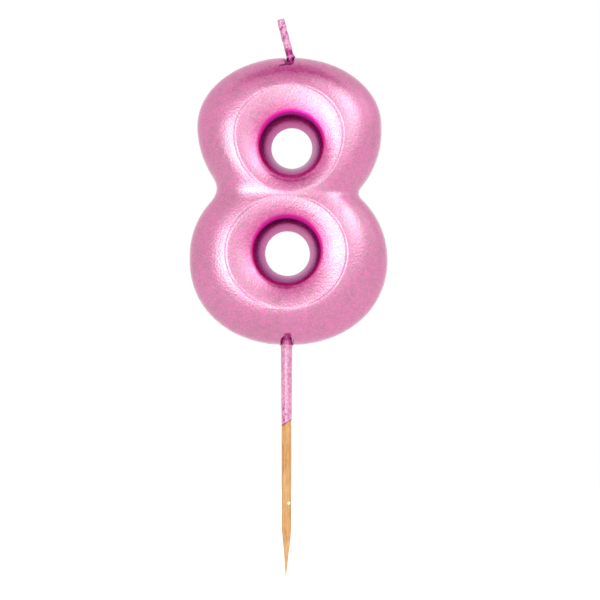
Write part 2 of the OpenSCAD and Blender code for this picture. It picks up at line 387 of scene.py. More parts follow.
def figure_mesh():
    """Points and faces of the smooth figure: two cells, each with a front and a back sheet."""
    left, right = notch(LEFT_NOTCH_WAY), notch(RIGHT_NOTCH_WAY)
    cells = [
        (UPPER_HOLE, UPPER_CREST, *rim_points(UPPER_HOLE, right, left, WICK_ANGLE)),
        (LOWER_HOLE, LOWER_CREST, *rim_points(LOWER_HOLE, left, right, PICK_ANGLE)),
    ]
    points, faces, start = [], [], 0
    for hole, crest, rim, on_edge in cells:
        for side in (-1, 1):
            sheet = cell_sheet(hole, crest, rim, on_edge, side)
            spokes, rings = sheet.shape[:2]
            index = start + np.arange(spokes * rings).reshape(spokes, rings)
            a, b = index[:, :-1], np.roll(index, -1, 0)[:, :-1]
            c, d = np.roll(index, -1, 0)[:, 1:], index[:, 1:]
            quads = np.stack([a, d, c, b] if side < 0 else [a, b, c, d], -1).reshape(-1, 4)
            faces += quads.tolist()
            points.append(sheet.reshape(-1, 3))
            start += spokes * rings
    return welded(np.concatenate(points), faces)


def creased(points):
    """The figure with a fine crease along the crest lines, faint at the waist."""
    x, y, z = points[:, 0], points[:, 1].copy(), points[:, 2]
    crest_gap = np.minimum(np.abs(beyond(x, z, UPPER_CREST)), np.abs(beyond(x, z, LOWER_CREST)))
    sideways = smoothstep(*CREASE_FADE_X, np.abs(x - WAIST[0]))
    share = CREASE_AT_WAIST + (1 - CREASE_AT_WAIST) * sideways
    crease = CREASE_DEPTH * share * np.exp(-((crest_gap / CREASE_WIDTH) ** 2))
    crease *= CREASE_MEAN + CREASE_CHANGE * wobble(points, *CREASE_NOISE)
    high = smoothstep(*CREASE_FADE_Y, np.abs(y))
    return np.column_stack([x, y - np.sign(y) * crease * high, z])


def vertex_normals(points, faces):
    probe = make_object("normals_probe", points, faces)
    normals = np.zeros(len(points) * 3)
    probe.data.vertices.foreach_get("normal", normals)
    bpy.data.objects.remove(probe)
    return normals.reshape(-1, 3)


def dip_relief(points):
    """Height of the swells, the ripples and the mould's seam along the edge."""
    x, y, z = points.T
    roots = np.minimum(np.hypot(x - WICK_FOOT[0], z - TOP_Z), np.hypot(x, z - BOTTOM_Z))
    calm = smoothstep(*ROOT_CALM, roots)
    swell = SWELL * wobble(points, *SWELL_NOISE) * calm
    ripple = RIPPLE * wobble(points, *RIPPLE_NOISE)
    from_holes = np.minimum(
        *(np.hypot(x - hole.x, z - hole.z) - hole.radius for hole in (UPPER_HOLE, LOWER_HOLE))
    )
    seam = SEAM_HEIGHT * np.exp(-((y / SEAM_WIDTH) ** 2)) * calm
    seam *= smoothstep(*SEAM_FADE, from_holes)
    return swell + ripple + seam - SWELL / 2


def shade_spot(x, z, dark_patch):
    gap = np.hypot((x - dark_patch.x) / dark_patch.half_width, (z - dark_patch.z) / dark_patch.half_height)
    return dark_patch.strength * (1 - smoothstep(dark_patch.core, dark_patch.edge, gap))


def dip_colour_marks(points, deep):
    """Shares from 0 to 1 of dark dip, painted shade and painted reflection, by attribute name."""
    x, z = points[:, 0], points[:, 2]
    in_front = points[:, 1] < 0
    zone = np.minimum(
        *(
            np.hypot(x - hole.x - shift[0], z - hole.z - shift[1]) - hole.radius
            for hole, shift in ((UPPER_HOLE, UPPER_HOLE_PAINT_SHIFT), (LOWER_HOLE, LOWER_HOLE_PAINT_SHIFT))
        )
    )
    # Painted reflection: magenta round the mouth of each hole, fainter further out; the runs below
    # the holes add to it
    hole_reflection_and_runs = 1 - smoothstep(HOLE_REFLECTION_FROM - HOLE_REFLECTION_SOFT, HOLE_REFLECTION_FROM + HOLE_REFLECTION_SOFT, zone)
    hole_reflection_and_runs = np.maximum(hole_reflection_and_runs, HOLE_REFLECTION_TINT * (1 - smoothstep(HOLE_REFLECTION_FROM, HOLE_REFLECTION_FAR, zone)))
    for run_x, run_z in RUNS:
        gap = np.hypot((x - run_x) / RUN_HALF_WIDTH, (z - run_z) / RUN_HALF_HEIGHT)
        run = RUN_STRENGTH * np.exp(-((gap / RUN_SOFT) ** 2))
        hole_reflection_and_runs = np.maximum(hole_reflection_and_runs, run * in_front)

    gap, t = segment_distance(x, z, SMEAR_START, SMEAR_END)
    smear = 1 - smoothstep(*SMEAR_SOFT, gap / (SMEAR_HALF_WIDTH - SMEAR_TAPER * t))
    smear_and_shade = (SMEAR_STRENGTH * smear, shade_spot(x, z, BELOW_WICK_SHADE), shade_spot(x, z, ABOVE_PICK_SHADE))
    # Painted shade growing with the depth of the hollows at the wick and the pick, with the darker
    # smear and the painted shade spots in front
    thick_dip_and_shade = np.maximum(smoothstep(*HOLLOW_SHADE_DEPTHS, deep), np.maximum.reduce(smear_and_shade) * in_front)
    # Round the holes: painted shade on the walls, and a painted reflection at the mouths
    return {
        "thick_dip_and_shade": thick_dip_and_shade,
        "hole_reflection_and_runs": hole_reflection_and_runs,
        "ring": 1 - smoothstep(*HOLE_SHADE_REACH, zone),
        "lip_reflection": 1 - smoothstep(*LIP_REFLECTION_REACH, zone),
    }


def build_digit():
    points, faces = figure_mesh()
    points = creased(points)
    points = points + vertex_normals(points, faces) * dip_relief(points)[:, None]
    points, deep = press_roots(points)
    return make_object("digit_dip", points, faces, dip_colour_marks(points, deep))


# ---------------------------------------------------------------------------------------------
# The wick

WICK_R = 0.9
BRAID_R = 0.65
WICK_L = 9.15
WICK_LEAN = math.radians(14.6)
WICK_START = -1.0
CUT_SLOPE = math.tan(math.radians(3.5))
WICK_BEND = (-1.2, 0.6)
WICK_AROUND, WICK_RINGS = 72, 150
# The dip on the wick: its mean radius, and heights of the plait, lumps and grain in it
WICK_MEAN_R, PLAIT_HEIGHT, LUMP_HEIGHT, GRAIN_HEIGHT = WICK_R * 0.9, 0.11, 0.045, 0.02
# The collar of dip at its foot: place along the wick, length, height, extra height to one side
COLLAR_S, COLLAR_L, COLLAR_HEIGHT, COLLAR_SIDE = 0.05, 0.35, 0.06, 0.2
CUT_SET_BACK, BRAID_SET_BACK = 0.06, 0.15

BRAID_PITCH = 2.6
STRANDS, STRAND_AROUND, STRAND_RINGS = 3, 20, 200
STRAND_TURN_PITCH = BRAID_PITCH * 1.5
STRAND_X, STRAND_Y = 0.27, 0.2
YARN_R, YARN_LOBES = 0.31, 0.02


def wick_axes():
    """Unit vectors along the leaning wick and across it."""
    along = np.array((-math.sin(WICK_LEAN), 0, math.cos(WICK_LEAN)))
    across = np.array((math.cos(WICK_LEAN), 0, math.sin(WICK_LEAN)))
    return along, across


def braid_relief(angle, s):
    """Height of the plait under the dip, 0 in its valleys and 1 on its strands."""
    u = 2 * angle + 2 * math.pi * s / BRAID_PITCH
    v = 2 * angle - 2 * math.pi * s / BRAID_PITCH
    one = np.abs(np.cos(u / 2)) * (0.6 + 0.4 * np.sin(v + 0.6))
    other = np.abs(np.cos(v / 2)) * (0.6 - 0.4 * np.sin(u + 0.6))
    return np.maximum(one, other)


def wick_place(s, angle, radius):
    """Point on the wick: s along it from its foot, where it turns upright inside the wax."""
    along, across = wick_axes()
    lean = WICK_LEAN * smoothstep(*WICK_BEND, s)
    axis = WICK_FOOT + np.outer(s, along)
    below = np.minimum(s, 0)
    axis = axis + np.outer(below, np.array((0, 0, 1)) - along)
    side = np.column_stack([np.cos(lean), np.zeros_like(lean), np.sin(lean)])
    depth = np.outer(radius * np.sin(angle), (0, 1, 0))
    return axis + side * (radius * np.cos(angle))[:, None] + depth


def wick_stains(s, plait, lumps, fine):
    """Where the dip on the wick is darker: up from its foot, in the valleys, not on the collar."""
    low = 1 - smoothstep(1.5, 2.2, s + 0.5 * lumps)
    dark_patch = low * smoothstep(0.3, 0.55, plait + 0.35 * fine + 0.2)
    clear = np.exp(-((s - 0.25) / 0.22) ** 2)
    valley = 0.75 * smoothstep(0.62, 0.3, plait + 0.25 * fine) * smoothstep(-0.3, 0.2, lumps)
    foot = 1 - smoothstep(-0.35, -0.05, s)
    return np.clip(np.maximum.reduce([dark_patch - 0.9 * clear, valley, foot]), 0, 1)


def build_wick_coat():
    angles = np.linspace(0, 2 * math.pi, WICK_AROUND, endpoint=False)
    pts, thick_dip_and_shade = [], []
    for i in range(WICK_RINGS):
        share = i / (WICK_RINGS - 1)
        cut = WICK_L - CUT_SET_BACK + WICK_R * np.cos(angles) * CUT_SLOPE
        s = WICK_START + (cut - WICK_START) * share
        noise_at = np.column_stack([np.cos(angles), np.sin(angles), s])
        plait = braid_relief(angles, s)
        lumps = wobble(noise_at, 0.55, 5)
        fine = wobble(noise_at, 0.22, 6)
        radius = WICK_MEAN_R + PLAIT_HEIGHT * plait + LUMP_HEIGHT * lumps + GRAIN_HEIGHT * fine
        collar = np.exp(-((s - COLLAR_S) / COLLAR_L) ** 2)
        one_side = np.maximum(0, np.cos(angles - 0.5)) ** 2
        radius = radius + collar * (COLLAR_HEIGHT + COLLAR_SIDE * one_side)
        radius = np.where(s < -0.3, np.minimum(radius, WICK_R * 0.98), radius)
        pts.append(wick_place(s, angles, radius))
        thick_dip_and_shade.append(wick_stains(s, plait, lumps, fine))
    # The cut end turns in over the dip's thickness and meets the braid
    for share, set_back in ((0.5, -0.01), (1.0, BRAID_SET_BACK)):
        radius = WICK_R * 0.93 * (1 - share) + BRAID_R * 0.99 * share
        s = WICK_L - CUT_SET_BACK - set_back + radius * np.cos(angles) * CUT_SLOPE
        pts.append(wick_place(s, angles, np.full(WICK_AROUND, radius)))
        thick_dip_and_shade.append(np.zeros(WICK_AROUND))
    faces = tube_faces(len(pts), WICK_AROUND)
    return make_object("wick_dip", np.concatenate(pts), faces, {"thick_dip_and_shade": np.concatenate(thick_dip_and_shade)})


def build_braid():
    """Three cotton strands plaited round one another, cut across with the dip."""
    angles = np.linspace(0, 2 * math.pi, STRAND_AROUND, endpoint=False)
    pts, faces = [], []
    for strand in range(STRANDS):
        phase = 2 * math.pi * strand / STRANDS
        first = len(pts) * STRAND_AROUND
        for i in range(STRAND_RINGS):
            share = i / (STRAND_RINGS - 1)
            turn = 2 * math.pi * share * (WICK_L - WICK_START) / STRAND_TURN_PITCH + phase
            weave_x = STRAND_X * math.sin(turn)
            weave_y = STRAND_Y * math.sin(2 * turn)
            end = WICK_L - 0.02 + weave_x * CUT_SLOPE
            s = WICK_START + (end - WICK_START) * share
            yarn = YARN_R + YARN_LOBES * np.cos(6 * angles + 9 * share + phase)
            local_x = weave_x + yarn * np.cos(angles)
            local_y = weave_y + yarn * np.sin(angles)
            tilt = CUT_SLOPE * yarn * np.cos(angles) * smoothstep(0.9, 1.0, share)
            radius = np.hypot(local_x, local_y)
            pts.append(wick_place(s + tilt, np.arctan2(local_y, local_x), radius))
        faces += tube_faces(STRAND_RINGS, STRAND_AROUND, first)
        faces += end_caps(STRAND_RINGS, STRAND_AROUND, first)
    return make_object("wick_braid", np.concatenate(pts), faces)


# ---------------------------------------------------------------------------------------------
# The pick and its sleeve of dip

# The sharpened point: distances past the straight stretch and shares of the radius there
POINT_STAGES_Z = (0, -1.0, -2.9, -4.7, -6.6, -8.4, -10.2, -11.6, -12.0)
POINT_STAGES_R = (1.0, 0.975, 0.85, 0.675, 0.475, 0.34, 0.17, 0.07, 0.03)
POINT_DRIFT = -0.14
TOP_CHAMFER_L, TOP_CHAMFER = 1.2, 0.38
PICK_AROUND = 96
# Marks on its front: a raised splinter and a small pale chip
SPLINTER_X, SPLINTER_Z = -0.8, -4.7
SPLINTER_HALF_W, SPLINTER_HALF_L, SPLINTER_HEIGHT = 0.09, 1.75, 0.07
CHIP_X, CHIP_Z = 0.55, -17.3
CHIP_HALF_W, CHIP_HALF_L, CHIP_DEPTH = 0.16, 0.3, 0.08


def pick_radius(z, angles):
    """Radius at a height; under the dip the wood is a little thinner, to stay inside it."""
    point_share = np.interp(PICK_BARE_L + z, POINT_STAGES_Z[::-1], POINT_STAGES_R[::-1])
    radius = PICK_R * np.where(z < -PICK_BARE_L, point_share, 1.0) * np.ones_like(angles)
    shrink = smoothstep(-0.1, 0.5, z) * 0.055 + smoothstep(0.5, 30, z) * 0.06
    return radius - shrink


def build_pick():
    angles = np.linspace(0, 2 * math.pi, PICK_AROUND, endpoint=False)
    heights = np.concatenate([
        np.linspace(PICK_LOW[2], -PICK_BARE_L - 0.3, 90),
        np.linspace(-PICK_BARE_L, 3.0, 190),
        np.linspace(3.6, PICK_HIGH[2] - TOP_CHAMFER_L, 24),
        [PICK_HIGH[2] - 0.5, PICK_HIGH[2]],
    ])
    front = np.sin(angles) < 0.2
    pts = []
    for z in heights:
        radius = pick_radius(z, angles)
        if z > PICK_HIGH[2] - TOP_CHAMFER_L:
            radius = radius * (1 - TOP_CHAMFER * (z - PICK_HIGH[2] + TOP_CHAMFER_L) / TOP_CHAMFER_L)
        noise_at = np.column_stack([
            np.cos(angles) * PICK_R, np.sin(angles) * PICK_R, np.full(PICK_AROUND, z * 0.06),
        ])
        grain = wobble(noise_at, 0.16, 11) * 0.018 + wobble(noise_at, 0.5, 12) * 0.02
        scale = np.clip(radius / PICK_R, 0.15, 1)
        x = radius * np.cos(angles)
        raised = np.exp(-(((x - SPLINTER_X) / SPLINTER_HALF_W) ** 2))
        raised = raised * np.exp(-(((z - SPLINTER_Z) / SPLINTER_HALF_L) ** 4))
        chipped = np.exp(-(((x - CHIP_X) / CHIP_HALF_W) ** 2) - ((z - CHIP_Z) / CHIP_HALF_L) ** 2)
        marks = SPLINTER_HEIGHT * raised * front - CHIP_DEPTH * chipped * front
        knife = 0.02 * np.cos(5 * angles + 0.4) * smoothstep(0, -3, z + PICK_BARE_L)
        radius = np.maximum(radius + grain * scale + marks + knife * scale, 0.02)
        drift = POINT_DRIFT * smoothstep(0, 1, (-PICK_BARE_L - 4 - z) / 8)
        pts.append(np.column_stack([
            radius * np.cos(angles) + drift, radius * np.sin(angles), np.full(PICK_AROUND, z),
        ]))
    faces = tube_faces(len(pts), PICK_AROUND) + end_caps(len(pts), PICK_AROUND)
    return make_object("pick_wood", np.concatenate(pts), faces)


# The slanted lower edge, then the sleeve's radius at its heights, with the fillet at the digit
EDGE_MID_Z = 0.9
EDGE_RISE = 0.72
SLEEVE_STAGES_Z = (0, 2, 4, 12, 17.9, 18.35, 18.7, 19.1, 19.6, 19.95, 20.4, 21.2)
SLEEVE_STAGES_R = (1.115, 1.15, 1.19, 1.24, 1.29, 1.36, 1.55, 1.4, 1.3, 1.2, 1.12, 1.1)
SLEEVE_AROUND, SLEEVE_RINGS, SLEEVE_CROWDING = 96, 220, 1.15
EDGE_START = 0.02
BEAD_UP, BEAD_HALF_L, BEAD_HEIGHT = 0.12, 0.12, 0.035
# Darker marks on the sleeve's front: x, z, half length
DIP_MARKS = ((-0.55, 1.6, 0.5), (-0.2, 2.9, 0.4), (-0.7, 4.1, 0.35), (-0.35, 5.2, 0.25))
DIP_MARK_HALF_W = 0.3


def sleeve_stains_and_shade(x, z, above_edge, angles, lumps, fine):
    """Where the dip on the pick is darker: thick along its edge, painted shade at the digit, a few
    marks.
    """
    rim = 1 - smoothstep(0.1, 0.34, above_edge + 0.05 * fine)
    # Painted shade where the sleeve goes into the digit
    root_shade = smoothstep(BOTTOM_Z + 1.0, BOTTOM_Z + 1.25, z + 0.12 * lumps)
    marks = np.zeros(len(angles))
    for mark_x, mark_z, half_l in DIP_MARKS:
        gap = np.hypot((x - mark_x) / DIP_MARK_HALF_W, (z - mark_z) / half_l) + 0.5 * fine
        marks = np.maximum(marks, (1 - smoothstep(0.4, 1.0, gap)) * (np.sin(angles) < 0))
    return np.clip(np.maximum.reduce([rim, 0.5 * root_shade, 0.7 * marks]), 0, 1)


def build_sleeve():
    angles = np.linspace(0, 2 * math.pi, SLEEVE_AROUND, endpoint=False)
    edge_at = np.column_stack([np.cos(angles), np.sin(angles), np.zeros(SLEEVE_AROUND)])
    edge = EDGE_MID_Z + EDGE_RISE * np.cos(angles) + 0.1 * wobble(edge_at, 0.5, 21)
    pts, thick_dip_and_shade = [], []
    # The edge starts against the wood and rounds over the dip's thickness
    for inset, lift in ((0.028, 0.03), (0.014, 0.0)):
        radius = PICK_R - 0.03 - inset
        pts.append(np.column_stack([radius * np.cos(angles), radius * np.sin(angles), edge + lift]))
        thick_dip_and_shade.append(np.ones(SLEEVE_AROUND))
    for i in range(SLEEVE_RINGS):
        share = (i / (SLEEVE_RINGS - 1)) ** SLEEVE_CROWDING
        z = edge + EDGE_START + (SLEEVE_STAGES_Z[-1] - edge - EDGE_START) * share
        noise_at = np.column_stack([np.cos(angles) * 1.2, np.sin(angles) * 1.2, z])
        lumps = wobble(noise_at, 1.1, 22)
        fine = wobble(noise_at, 0.32, 23)
        radius = np.interp(z, SLEEVE_STAGES_Z, SLEEVE_STAGES_R) + 0.022 * lumps + 0.009 * fine
        above_edge = z - edge
        radius = radius + BEAD_HEIGHT * np.exp(-((above_edge - BEAD_UP) / BEAD_HALF_L) ** 2)
        radius = np.maximum(radius, PICK_R + 0.012)
        x = radius * np.cos(angles)
        pts.append(np.column_stack([x, radius * np.sin(angles), z]))
        thick_dip_and_shade.append(sleeve_stains_and_shade(x, z, above_edge, angles, lumps, fine))
    faces = tube_faces(len(pts), SLEEVE_AROUND)
    return make_object("pick_dip", np.concatenate(pts), faces, {"thick_dip_and_shade": np.concatenate(thick_dip_and_shade)})


# ---------------------------------------------------------------------------------------------
# Materials

# The dip: three tones of its body, its flakes, what it looks like where it is thick or thin,
# and painted shade and painted reflection in the hollows, the pits and the holes
PEARL = (0.32, 0.012, 0.135, 1)
PEARL_LIGHT = (0.40, 0.04, 0.20, 1)
PEARL_DEEP = (0.25, 0.008, 0.10, 1)
FLAKE = (0.68, 0.11, 0.36, 1)
# Dark dip, also painted shade in the hollows at the wick and the pick
DARK_DIP_AND_SHADE = (0.22, 0.006, 0.12, 1)
# Painted reflection at the bottom of the pits
PIT_REFLECTION = (0.85, 0.020, 0.50, 1)
# Painted light in the holes: a magenta painted reflection, a purple painted shade on the walls, a
# mauve painted reflection at the mouths
HOLE_REFLECTION = (0.54, 0.008, 0.23, 1)
HOLE_SHADE = (0.24, 0.014, 0.17, 1)
LIP_REFLECTION_MAUVE = (0.40, 0.065, 0.22, 1)
THIN_PEARL = (0.34, 0.03, 0.16, 1)
THIN_PEARL_LIGHT = (0.52, 0.16, 0.32, 1)
PEARL_IOR, THIN_PEARL_IOR = 2.45, 2.3
FLAKE_SIZE, THIN_FLAKE_SIZE = 0.36, 0.2

WOOD_DARK, WOOD_LIGHT = (0.36, 0.14, 0.024, 1), (0.66, 0.36, 0.12, 1)
WOOD_LINE, WOOD_PATCH = (0.24, 0.08, 0.014, 1), (0.62, 0.40, 0.20, 1)
WOOD_CHIP = (0.95, 0.80, 0.62, 1)
BRAID_DARK, BRAID_LIGHT = (0.74, 0.45, 0.52, 1), (0.86, 0.72, 0.70, 1)
WAX_DARK, WAX_LIGHT = (0.78, 0.55, 0.62, 1), (0.88, 0.70, 0.76, 1)
FLOOR_DARK, FLOOR_LIGHT = (0.93, 0.93, 0.93, 1), (0.96, 0.96, 0.96, 1)
WHITE = (1, 1, 1, 1)

# Dark specks in the dip on the front: x, z
SPECKS = (
    (-9.2, 80.5), (-7.0, 82.3), (-12.0, 76.7), (15.4, 76.5),
    (12.8, 52.8), (10.6, 32.9), (8.8, 22.9), (-17.0, 58.5),
)
SPECK_R = 0.26


class Nodes:
    """A material's node tree, with short helpers for adding and joining nodes."""

    def __init__(self, name):
        self.material = bpy.data.materials.new(name)
        self.material.use_nodes = True
        self.tree = self.material.node_tree
        self.shader = self.tree.nodes["Principled BSDF"]
        self.place = self.add("ShaderNodeTexCoord").outputs["Object"]

    def add(self, kind, **settings):
        node = self.tree.nodes.new(kind)
        for key, value in settings.items():
            setattr(node, key, value)
        return node

    def join(self, source, target):
        self.tree.links.new(source, target)

    def feed(self, socket, value):
        if isinstance(value, bpy.types.NodeSocket):
            self.join(value, socket)
        else:
            socket.default_value = value

    def noise(self, wavelength_mm, detail=2.0, stretch=(1, 1, 1), seed=0.0):
        """Soft noise of about 0.3 to 0.7; a stretch below 1 draws it out along that axis."""
        mapping = self.add("ShaderNodeMapping")
        mapping.inputs["Scale"].default_value = [1 / (wavelength_mm * MM) * s for s in stretch]
        mapping.inputs["Location"].default_value = (seed * 3.1, seed * 1.7, seed * 2.3)
        self.join(self.place, mapping.inputs["Vector"])
        node = self.add("ShaderNodeTexNoise")
        node.inputs["Scale"].default_value = 1.0
        node.inputs["Detail"].default_value = detail
        self.join(mapping.outputs["Vector"], node.inputs["Vector"])
        return node.outputs["Fac"]

    def flakes(self, size_mm):
        """Cells of one size, each with its own value from 0 to 1."""
        mapping = self.add("ShaderNodeMapping")
        mapping.inputs["Scale"].default_value = [1 / (size_mm * MM)] * 3
        self.join(self.place, mapping.inputs["Vector"])
        node = self.add("ShaderNodeTexVoronoi")
        node.inputs["Scale"].default_value = 1.0
        self.join(mapping.outputs["Vector"], node.inputs["Vector"])
        split = self.add("ShaderNodeSeparateColor")
        self.join(node.outputs["Color"], split.inputs["Color"])
        return split.outputs["Red"]

    def span(self, value, low, high, out_low=0.0, out_high=1.0):
        """The value carried from low..high to out_low..out_high, and held at the ends."""
        node = self.add("ShaderNodeMapRange")
        self.feed(node.inputs["Value"], value)
        node.inputs["From Min"].default_value = low
        node.inputs["From Max"].default_value = high
        node.inputs["To Min"].default_value = out_low
        node.inputs["To Max"].default_value = out_high
        return node.outputs["Result"]

    def math(self, operation, a, b=0.0):
        node = self.add("ShaderNodeMath", operation=operation)
        self.feed(node.inputs[0], a)
        self.feed(node.inputs[1], b)
        return node.outputs["Value"]

    def mix(self, factor, a, b):
        node = self.add("ShaderNodeMix", data_type="RGBA")
        self.feed(node.inputs["Factor"], factor)
        self.feed(node.inputs["A"], a)
        self.feed(node.inputs["B"], b)
        return node.outputs["Result"]

    def attribute(self, name):
        return self.add("ShaderNodeAttribute", attribute_name=name).outputs["Fac"]

    def spot(self, place_mm, radius_mm, soft=0.5):
        """1 near a place, 0 from the radius outwards; soft is the share of it where 1 ends."""
        node = self.add("ShaderNodeVectorMath", operation="DISTANCE")
        self.join(self.place, node.inputs[0])
        node.inputs[1].default_value = [v * MM for v in place_mm]
        return self.span(node.outputs["Value"], radius_mm * MM * soft, radius_mm * MM, 1.0, 0.0)

    def bump(self, height, distance_mm, strength=1.0, normal=None):
        node = self.add("ShaderNodeBump")
        node.inputs["Strength"].default_value = strength
        node.inputs["Distance"].default_value = distance_mm * MM
        self.join(height, node.inputs["Height"])
        if normal is not None:
            self.join(normal, node.inputs["Normal"])
        return node.outputs["Normal"]


def pearl_material(specks):
    n = Nodes("pearl_dip")
    broad = n.noise(9.0, 3.0, seed=1)
    cloud = n.noise(1.6, 3.0, seed=2)
    grain = n.flakes(FLAKE_SIZE)
    colour = n.mix(n.span(broad, 0.35, 0.65), PEARL_DEEP, PEARL)
    colour = n.mix(n.span(cloud, 0.4, 0.75, 0.0, 0.5), colour, PEARL_LIGHT)
    colour = n.mix(n.span(grain, 0.4, 1.0, 0.0, 0.7), colour, FLAKE)
    for place in specks:
        colour = n.mix(n.spot(place, SPECK_R), colour, DARK_DIP_AND_SHADE)
    thick_dip_and_shade, hole_reflection_and_runs = n.attribute("thick_dip_and_shade"), n.attribute("hole_reflection_and_runs")
    # Painted reflection: magenta round each hole
    colour = n.mix(hole_reflection_and_runs, colour, HOLE_REFLECTION)
    # Painted shade: dark purple on the walls of the holes
    colour = n.mix(n.attribute("ring"), colour, HOLE_SHADE)
    # Painted reflection: mauve at the mouths of the holes
    colour = n.mix(n.attribute("lip_reflection"), colour, LIP_REFLECTION_MAUVE)
    # Darker thick dip, and painted shade in the hollows at the wick and the pick
    colour = n.mix(thick_dip_and_shade, colour, DARK_DIP_AND_SHADE)
    # Painted reflection: hot pink at the bottom of the pits
    colour = n.mix(n.span(thick_dip_and_shade, 0.8, 1.0), colour, PIT_REFLECTION)
    # Metallic across the dark dip, its painted shade and the painted hole reflection, but less so
    # at the bottom of a pit
    dip_and_shade_metal = n.span(thick_dip_and_shade, 0.0, 0.75, 0.0, 0.97)
    dip_and_shade_metal = n.math("SUBTRACT", dip_and_shade_metal, n.span(thick_dip_and_shade, 0.8, 1.0, 0.0, 0.5))
    metal = n.math("MAXIMUM", n.math("MULTIPLY", hole_reflection_and_runs, 0.98), dip_and_shade_metal)
    metal = n.math("MAXIMUM", metal, n.span(grain, 0.4, 1.0, 0.0, 0.45))
    n.join(metal, n.shader.inputs["Metallic"])
    n.join(colour, n.shader.inputs["Base Color"])
    rough = n.span(n.noise(2.6, 3.0, seed=4), 0.3, 0.7, 0.17, 0.24)
    n.join(rough, n.shader.inputs["Roughness"])
    n.shader.inputs["IOR"].default_value = PEARL_IOR
    normal = n.bump(grain, 0.012, 0.5)
    normal = n.bump(n.noise(0.45, 1.0, seed=6), 0.035, 0.9, normal)
    normal = n.bump(n.noise(2.4, 2.0, seed=7), 0.04, 0.6, normal)
    n.join(normal, n.shader.inputs["Normal"])
    return n.material


def thin_pearl_material():
    n = Nodes("pearl_dip_thin")
    cloud = n.noise(0.7, 3.0, seed=8)
    grain = n.flakes(THIN_FLAKE_SIZE)
    colour = n.mix(n.span(cloud, 0.4, 0.62), THIN_PEARL, THIN_PEARL_LIGHT)
    colour = n.mix(n.span(grain, 0.3, 1.0, 0.0, 0.35), colour, THIN_PEARL_LIGHT)
    thick_dip_and_shade = n.attribute("thick_dip_and_shade")
    # Darker dip, with painted shade where the pick's dip goes into the digit
    colour = n.mix(thick_dip_and_shade, colour, DARK_DIP_AND_SHADE)
    n.join(n.math("MULTIPLY", thick_dip_and_shade, 0.9), n.shader.inputs["Metallic"])
    n.join(colour, n.shader.inputs["Base Color"])
    rough = n.span(n.noise(0.9, 3.0, seed=9), 0.3, 0.7, 0.24, 0.40)
    n.join(rough, n.shader.inputs["Roughness"])
    n.shader.inputs["IOR"].default_value = THIN_PEARL_IOR
    normal = n.bump(grain, 0.02, 0.5)
    normal = n.bump(n.noise(0.35, 3.0, seed=10), 0.03, 0.7, normal)
    n.join(normal, n.shader.inputs["Normal"])
    return n.material


def wood_material():
    n = Nodes("wood")
    streak = n.noise(0.32, 4.0, stretch=(1, 1, 0.03), seed=1)
    fine = n.noise(0.09, 3.0, stretch=(1, 1, 0.05), seed=2)
    patch = n.noise(3.0, 3.0, stretch=(1, 1, 0.35), seed=3)
    colour = n.mix(n.span(streak, 0.3, 0.7), WOOD_DARK, WOOD_LIGHT)
    colour = n.mix(n.span(fine, 0.45, 0.7, 0.0, 0.7), colour, WOOD_LINE)
    colour = n.mix(n.span(patch, 0.45, 0.75, 0.0, 0.6), colour, WOOD_PATCH)
    colour = n.mix(n.spot((CHIP_X, -0.9, CHIP_Z), 0.42), colour, WOOD_CHIP)
    n.join(colour, n.shader.inputs["Base Color"])
    n.join(n.span(streak, 0.3, 0.7, 0.5, 0.68), n.shader.inputs["Roughness"])
    normal = n.bump(streak, 0.04, 0.8)
    normal = n.bump(fine, 0.02, 0.8, normal)
    n.join(normal, n.shader.inputs["Normal"])
    return n.material


def braid_material():
    n = Nodes("braid")
    fibre = n.noise(0.12, 3.0, stretch=(1, 1, 0.2), seed=5)
    colour = n.mix(n.span(fibre, 0.3, 0.7), BRAID_DARK, BRAID_LIGHT)
    n.join(colour, n.shader.inputs["Base Color"])
    n.join(n.span(fibre, 0.3, 0.7, 0.7, 0.9), n.shader.inputs["Roughness"])
    n.join(n.bump(fibre, 0.03, 0.9), n.shader.inputs["Normal"])
    return n.material


def wax_material():
    n = Nodes("wax")
    cloud = n.noise(4.0, 3.0, seed=3)
    colour = n.mix(n.span(cloud, 0.3, 0.7), WAX_DARK, WAX_LIGHT)
    n.join(colour, n.shader.inputs["Base Color"])
    n.join(n.span(cloud, 0.3, 0.7, 0.45, 0.6), n.shader.inputs["Roughness"])
    n.join(n.bump(n.noise(1.2, 3.0, seed=4), 0.04, 0.6), n.shader.inputs["Normal"])
    return n.material


def floor_material():
    n = Nodes("floor")
    cloud = n.noise(60.0, 2.0)
    n.join(n.mix(cloud, FLOOR_DARK, FLOOR_LIGHT), n.shader.inputs["Base Color"])
    n.shader.inputs["Roughness"].default_value = 0.9
    n.shader.inputs["Specular IOR Level"].default_value = 0.1
    n.shader.inputs["Emission Color"].default_value = WHITE
    n.shader.inputs["Emission Strength"].default_value = 0.2
    return n.material


def dress(obj, material):
    obj.data.materials.clear()
    obj.data.materials.append(material)


# ---------------------------------------------------------------------------------------------
# The pieces

digit = build_digit()
speck_places = [(x, -float(shoulder_height(np.array(x), np.array(z))), z) for x, z in SPECKS]
dress(digit, pearl_material(speck_places))
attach(digit, "candle")
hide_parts("digit_coat")

thin_pearl = thin_pearl_material()
wick_dip = build_wick_coat()
dress(wick_dip, thin_pearl)
wick_braid = build_braid()
braid = braid_material()
dress(wick_braid, braid)
# The bend is spread from just inside the wax to a little above it
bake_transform(wick_dip)
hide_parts("wick_coat")
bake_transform(wick_braid)
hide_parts("wick_tip")

pick_wood = build_pick()
dress(pick_wood, wood_material())
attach(pick_wood, "candle")
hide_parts("pick")

pick_dip = build_sleeve()
dress(pick_dip, thin_pearl)
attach(pick_dip, "candle")
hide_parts("pick_coat")

dress(frame["nodes"]["wax_core"], wax_material())
dress(frame["nodes"]["wick_root"], braid)

# ---------------------------------------------------------------------------------------------
# Floor, light and camera

